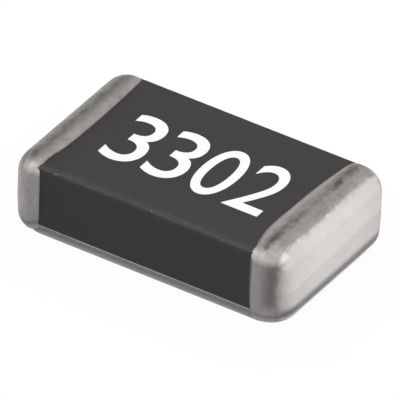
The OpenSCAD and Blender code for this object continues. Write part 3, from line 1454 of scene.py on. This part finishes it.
@dataclass(frozen=True)
class Studio:
    """Floor, light and camera."""

    half_length: float
    half_width: float
    azimuth: float = 31.91
    elevation: float = 35.23
    roll: float = 1.87
    distance: float = 92.0
    pixels_per_mm: float = 163.2
    origin_px: Range = (198.2, 232.1)
    frame_px: float = 400.0
    sensor: float = 36.0
    clip: Range = (0.2, 4.0)
    room_light: float = 0.80
    footprint_radius: float = 0.17
    floor_size: float = 60.0
    floor_grey: float = 0.70
    floor_roughness: float = 0.9
    foot_edge: Range = (-0.004, 0.003)
    # Grey of the painted shadow under the chip
    painted_shadow_grey: float = 0.21
    foot_cover: float = 0.65
    near_cover: float = 0.955
    far_cover: float = 0.04
    far_reach: float = 0.9
    lamps: tuple[Softbox, ...] = (
        Softbox("front_left_softbox", -42.0, 45.0, 22.0, 0.14),
        Softbox("right_softbox", 92.0, 40.0, 18.0, 0.07),
        Softbox("top_softbox", 0.0, 85.0, 40.0, 0.12),
    )

    def camera(self) -> bpy.types.Object:
        """Sets the camera at the photo's angle.

        Returns:
            The camera.
        """
        a, e, r = (math.radians(v) for v in (self.azimuth, self.elevation, self.roll))
        back = Vector((math.sin(a) * math.cos(e), -math.cos(a) * math.cos(e), math.sin(e)))
        flat = Vector((math.cos(a), math.sin(a), 0.0))
        steep = back.cross(flat)
        right = flat * math.cos(r) + steep * math.sin(r)
        up = steep * math.cos(r) - flat * math.sin(r)
        middle = self.frame_px / 2
        offset = right * (middle - self.origin_px[0]) + up * (self.origin_px[1] - middle)
        aim = offset / self.pixels_per_mm
        data = bpy.data.cameras.new("camera")
        data.sensor_width = self.sensor
        data.lens = self.sensor * self.distance * self.pixels_per_mm / self.frame_px
        data.clip_start, data.clip_end = (self.distance * share * MILLI for share in self.clip)
        eye = bpy.data.objects.new("camera", data)
        turn = Matrix((right, up, back)).transposed().to_4x4()
        eye.matrix_world = Matrix.Translation((aim + back * self.distance) * MILLI) @ turn
        bpy.context.scene.collection.objects.link(eye)
        bpy.context.scene.camera = eye
        return eye

    def floor(self) -> bpy.types.Object:
        """Lays the plain white floor.

        Returns:
            The floor.
        """
        bm = bmesh.new()
        bmesh.ops.create_grid(bm, x_segments=1, y_segments=1, size=self.floor_size * MILLI)
        mesh = bpy.data.meshes.new("floor")
        bm.to_mesh(mesh)
        bm.free()
        floor = bpy.data.objects.new("floor", mesh)
        bpy.context.scene.collection.objects.link(floor)
        floor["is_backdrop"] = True
        dress(floor, self.floor_finish())
        return floor

    def floor_finish(self) -> bpy.types.Material:
        """Makes the floor's material: white to the eye, and grey close under the chip, where its real shadow
        is blended with a painted shadow.

        Returns:
            The material.
        """
        sheet = NodeSheet("floor_white")
        sheet.shader.inputs["Base Color"].default_value = (*[self.floor_grey] * 3, 1.0)
        sheet.shader.inputs["Roughness"].default_value = self.floor_roughness
        path = sheet.add("ShaderNodeLightPath")
        rays = ("Is Camera Ray", "Is Glossy Ray", "Is Transmission Ray")
        seen = sheet.most(*[path.outputs[ray] for ray in rays])
        away = self.away_from_chip(sheet)
        # Painted shadow: the glow is flat grey under the chip and white outside it
        glow = sheet.add("ShaderNodeEmission")
        sheet.link(sheet.span(away, *self.foot_edge, self.painted_shadow_grey, 1.0), glow.inputs["Color"])
        near = sheet.span(away, *self.foot_edge, self.foot_cover, self.near_cover)
        cover = sheet.plus(near, sheet.span(away, 0.0, self.far_reach, 0.0, self.far_cover))
        blend = sheet.add("ShaderNodeMixShader")
        sheet.link(sheet.times(seen, cover), blend.inputs["Fac"])
        sheet.link(sheet.shader.outputs["BSDF"], blend.inputs[1])
        sheet.link(glow.outputs["Emission"], blend.inputs[2])
        sheet.link(blend.outputs["Shader"], sheet.out.inputs["Surface"])
        return sheet.material

    def away_from_chip(self, sheet: NodeSheet) -> Socket:
        """Measures how far a point of the floor lies outside the chip's footprint.

        Args:
            sheet: Node tree to add to.

        Returns:
            The distance in millimetres, below 0 inside.
        """
        square = []
        for axis, half in ((Axis.X, self.half_length), (Axis.Y, self.half_width)):
            past = sheet.math("SUBTRACT", sheet.size_of(axis), half - self.footprint_radius)
            square.append(sheet.math("POWER", sheet.math("MAXIMUM", past, 0.0), 2.0))
        return sheet.math("SUBTRACT", sheet.math("SQRT", sheet.plus(*square)), self.footprint_radius)

    def world(self) -> None:
        """Sets the soft room light and the white seen behind the chip."""
        world = bpy.data.worlds.new("room")
        world.use_nodes = True
        tree = world.node_tree
        tree.nodes.clear()
        out = tree.nodes.new("ShaderNodeOutputWorld")
        blend = tree.nodes.new("ShaderNodeMixShader")
        path = tree.nodes.new("ShaderNodeLightPath")
        seen = path.outputs["Is Camera Ray"]
        for ray in ("Is Glossy Ray", "Is Transmission Ray"):
            most = tree.nodes.new("ShaderNodeMath")
            most.operation = "MAXIMUM"
            tree.links.new(seen, most.inputs[0])
            tree.links.new(path.outputs[ray], most.inputs[1])
            seen = most.outputs[0]
        tree.links.new(seen, blend.inputs["Fac"])
        for slot, strength in ((1, self.room_light), (2, 1.0)):
            white = tree.nodes.new("ShaderNodeBackground")
            white.inputs["Color"].default_value = (1.0, 1.0, 1.0, 1.0)
            white.inputs["Strength"].default_value = strength
            tree.links.new(white.outputs[0], blend.inputs[slot])
        tree.links.new(blend.outputs[0], out.inputs["Surface"])
        bpy.context.scene.world = world

    def light(self) -> None:
        """Hangs the lamps."""
        for lamp in self.lamps:
            lamp.hang()


# This chip's own layers and finishes, and the order of the build


LAYERS = (
    CapLayer("cap_skin", "tin_cap", "tin", 0.0, 0.004, rim_back=0.0, tuck=0.002, waviness=0.002),
    CapLayer("nickel_skin", "nickel_barrier", "nickel", 0.008, 0.004, rim_back=0.032, tuck=0.0, waviness=0.0),
    CapLayer("base_skin", "base_cap", "silver", 0.013, 0.010, rim_back=0.040, tuck=0.0, waviness=0.0),
)

LEFT_TIN = TinFinish(
    "matt_tin_left",
    crest_x=0.856,
    # Crown and flank give the tone by how far a face turns to the end: painted light and shade, brightest on
    # the end
    crown=((0.0, 0.245), (0.3, 0.214), (0.5, 0.212), (0.85, 0.23), (1.0, 0.55)),
    flank=((0.0, 0.25), (0.17, 0.272), (0.34, 0.285), (0.64, 0.33), (0.8, 0.37), (1.0, 0.60)),
    rim_on_top=0.07,
    rim_on_side=0.03,
    crest_reach=0.062,
    crest_dark=0.46,
    crest_stray=0.15,
    shoulder=0.185,
)

RIGHT_TIN = TinFinish(
    "matt_tin_right",
    crest_x=0.820,
    # Crown and flank give the tone by how far a face turns to the end: painted light and shade, brightest on
    # the end
    crown=(
        (0.0, 0.275), (0.34, 0.29), (0.52, 0.335), (0.64, 0.61), (0.77, 0.705), (0.9, 0.735), (1.0, 0.715)
    ),
    # The flank's dip to 0.13 is a painted dark band of shade beside the upright edge
    flank=((0.0, 0.25), (0.17, 0.20), (0.34, 0.15), (0.5, 0.13), (0.62, 0.18), (0.8, 0.50), (1.0, 0.715)),
    rim_on_top=0.19,
    rim_on_side=0.08,
    crest_dark=0.70,
    crest_ease=0.57,
)

DIPS = {
    Side.LEFT: Dip(LEFT_TIN, bow=0.020, side_bow=0.0, sag=RimSag(0.46, 0.10, 0.014)),
    Side.RIGHT: Dip(RIGHT_TIN, bow=0.055, side_bow=0.016, sag=RimSag(-0.32, 0.19, -0.016)),
}

NICKEL = LayerFinish("plated_nickel", (0.52, 0.50, 0.46), 1.0, (0.29, 0.41))
SILVER = LayerFinish("fired_silver", (0.72, 0.72, 0.70), 1.0, (0.44, 0.56))
FILM = LayerFinish("resistor_paste", (0.05, 0.04, 0.035), 0.0, (0.54, 0.66))
GLASS = LayerFinish("fired_glass", (0.16, 0.22, 0.19), 0.0, (0.19, 0.31))

HIDDEN = {
    "resistive_film": "film",
    "glass_coat": "glass",
    "left_top_electrode": "silver",
    "right_top_electrode": "silver",
    "left_bottom_electrode": "silver",
    "right_bottom_electrode": "silver",
}

# Share of the coat's edge radius that a cap's rim is worn down where it crosses that edge
CORNER_WEAR = 0.12

# How far the floor's shade stops short of the ends of the chip
SHADE_BACK = 0.05


def build_coat(low: Point, high: Point) -> Overcoat:
    """Builds and dresses the coat.

    Args:
        low: Lowest corner of the coat's CAD node in millimetres.
        high: Highest corner of the coat's CAD node in millimetres.

    Returns:
        The coat, for the sizes of its skin.
    """
    swell = Vector(COAT_SWELL)
    coat = Overcoat(tuple(Vector(low) - Vector((0.0, swell.y, 0.0))), tuple(Vector(high) + swell))
    piece = coat.build()
    coat.dress(piece, OvercoatFinish())
    LOG.info("built %s", piece.name)
    return coat


def build_caps(low: Point, high: Point, coat: Overcoat, silver: bpy.types.Material) -> None:
    """Builds and dresses the three layers of both caps.

    Args:
        low: Lowest corner of the whole chip in millimetres.
        high: Highest corner of the whole chip in millimetres.
        coat: The coat that the rims thin out onto.
        silver: Material of the fired silver.
    """
    whole = {"length": high[0] - low[0], "width": high[1] - low[1], "height": high[2] - low[2]}
    bands = {
        Side.LEFT: in_mm(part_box("left_tin_cap"))[1][0] - low[0] + RIM_OVERLAP,
        Side.RIGHT: high[0] - in_mm(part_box("right_tin_cap"))[0][0] + RIM_OVERLAP,
    }
    ceramic_low, ceramic_high = in_mm(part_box("ceramic_substrate"))
    corner = coat.radius * CORNER_WEAR
    body = BodyReach(coat.high[1], coat.high[2], ceramic_high[1], ceramic_low[2], corner)
    nickel = NICKEL.material()
    for side, dip in DIPS.items():
        for layer, material in zip(LAYERS, (dip.finish.material(), nickel, silver)):
            cap = EndCap(side, layer, dip, **whole, band=bands[side], body=body)
            piece = cap.build()
            cap.dress(piece, material)
            LOG.info("built %s", piece.name)


def print_value(coat: Overcoat) -> None:
    """Prints the numerals on the coat.

    Args:
        coat: The coat that they lie on.
    """
    marking = Marking(deck=coat.high[2])
    piece = marking.build()
    marking.dress(piece, InkFinish())
    LOG.info("built %s", piece.name)


def main() -> None:
    """Builds the chip's skins, dresses every layer and sets up the studio."""
    logging.basicConfig(level=logging.INFO, format="%(name)s: %(message)s")
    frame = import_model()
    cad_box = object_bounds()
    bpy.context.scene.view_settings.view_transform = "Standard"

    low, high = in_mm(cad_box)
    coat_low, coat_high = in_mm(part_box("black_overcoat"))
    silver = SILVER.material()
    coat = build_coat(coat_low, coat_high)
    build_caps(low, high, coat, silver)
    print_value(coat)

    dress(frame["nodes"]["ceramic_substrate"], CeramicFinish().material())
    LOG.info("dressed ceramic_substrate")
    stack = InnerStack({"silver": silver, "film": FILM.material(), "glass": GLASS.material()}, HIDDEN)
    stack.dress(frame["nodes"])
    LOG.info("dressed %d hidden layers", len(stack.members))

    studio = Studio(half_length=high[0] - SHADE_BACK, half_width=coat_high[1])
    studio.camera()
    studio.floor()
    studio.world()
    studio.light()


if __name__ == "__main__":
    main()
